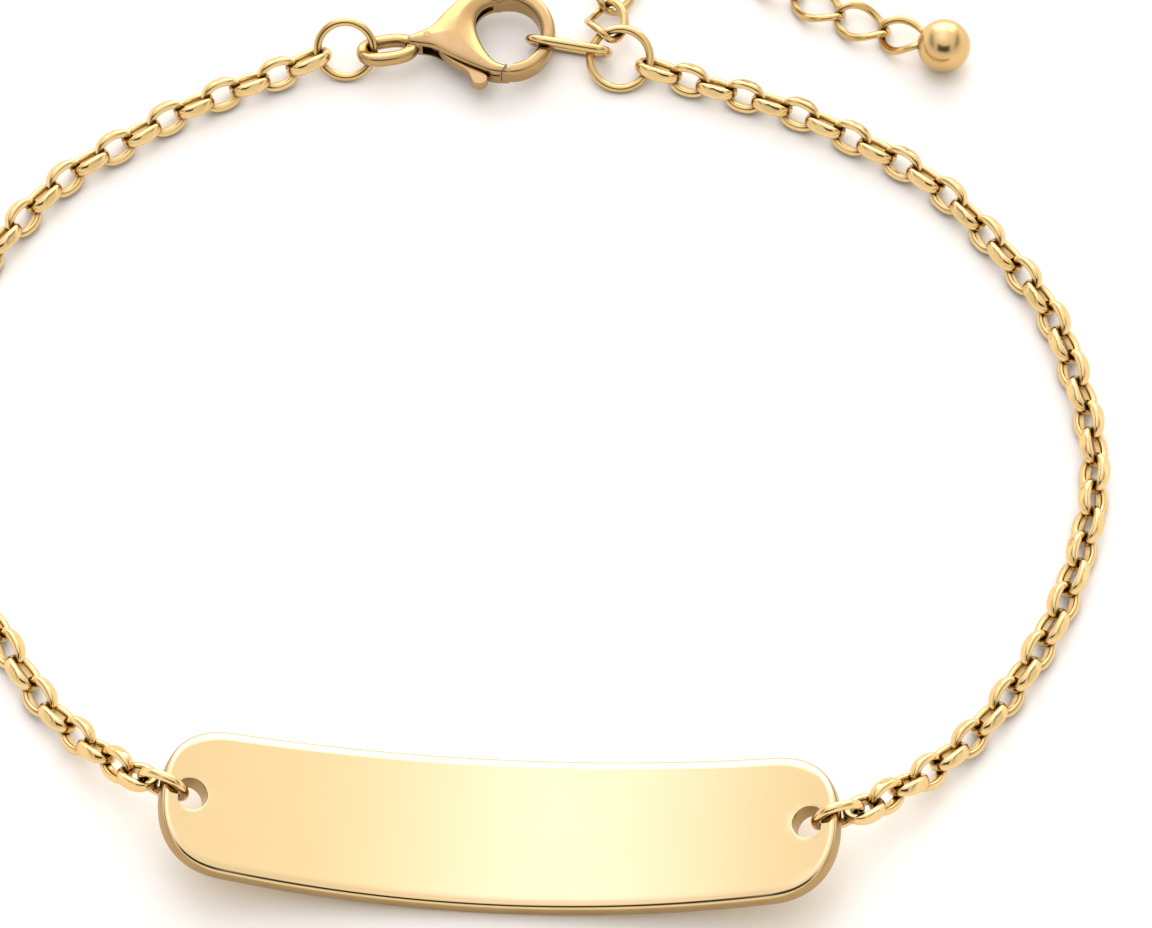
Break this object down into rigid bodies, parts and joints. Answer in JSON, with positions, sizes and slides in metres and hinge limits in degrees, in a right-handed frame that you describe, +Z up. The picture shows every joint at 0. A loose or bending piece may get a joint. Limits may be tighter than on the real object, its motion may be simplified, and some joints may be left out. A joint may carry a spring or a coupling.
{
  "type": "name anklet",
  "caption": "Closed chain anklet with a curved blank name plate, a lobster clasp and a short extender chain ending in a ball, lying flat.",
  "frame": {"origin": "middle of the anklet's footprint, on the surface it lies on", "axes": "+X along the name plate, +Y from the plate to the clasp, +Z up from the surface"},
  "size_m": [0.0794, 0.0758, 0.0062],
  "materials": {
    "plate": "polished, gold plated",
    "chain": "polished, gold plated",
    "rings": "polished, gold plated",
    "ball": "polished, gold plated",
    "clasp": "satin polished, gold plated"
  },
  "bodies": {
    "anklet": {"name_plate": "plate", "plate_link_left": "chain", "plate_link_right": "chain", "chain_left": "chain", "chain_right": "chain", "jump_ring_left": "rings", "jump_ring_right": "rings", "connector_link": "rings", "extender_chain": "rings", "extender_ball": "ball", "clasp_body": "clasp", "clasp_pivot": "clasp"},
    "lever": {"clasp_lever": "clasp"}
  },
  "joints": [
    {"name": "clasp_lever_hinge", "type": "hinge", "parent": "anklet", "child": "lever", "pos_m": [-0.00755, 0.02743, 0.00162], "axis": [0, 0, 1], "range_deg": [0, 19], "stiffness_Nm_per_rad": 0.002, "springref_deg": -11.46}
  ]
}
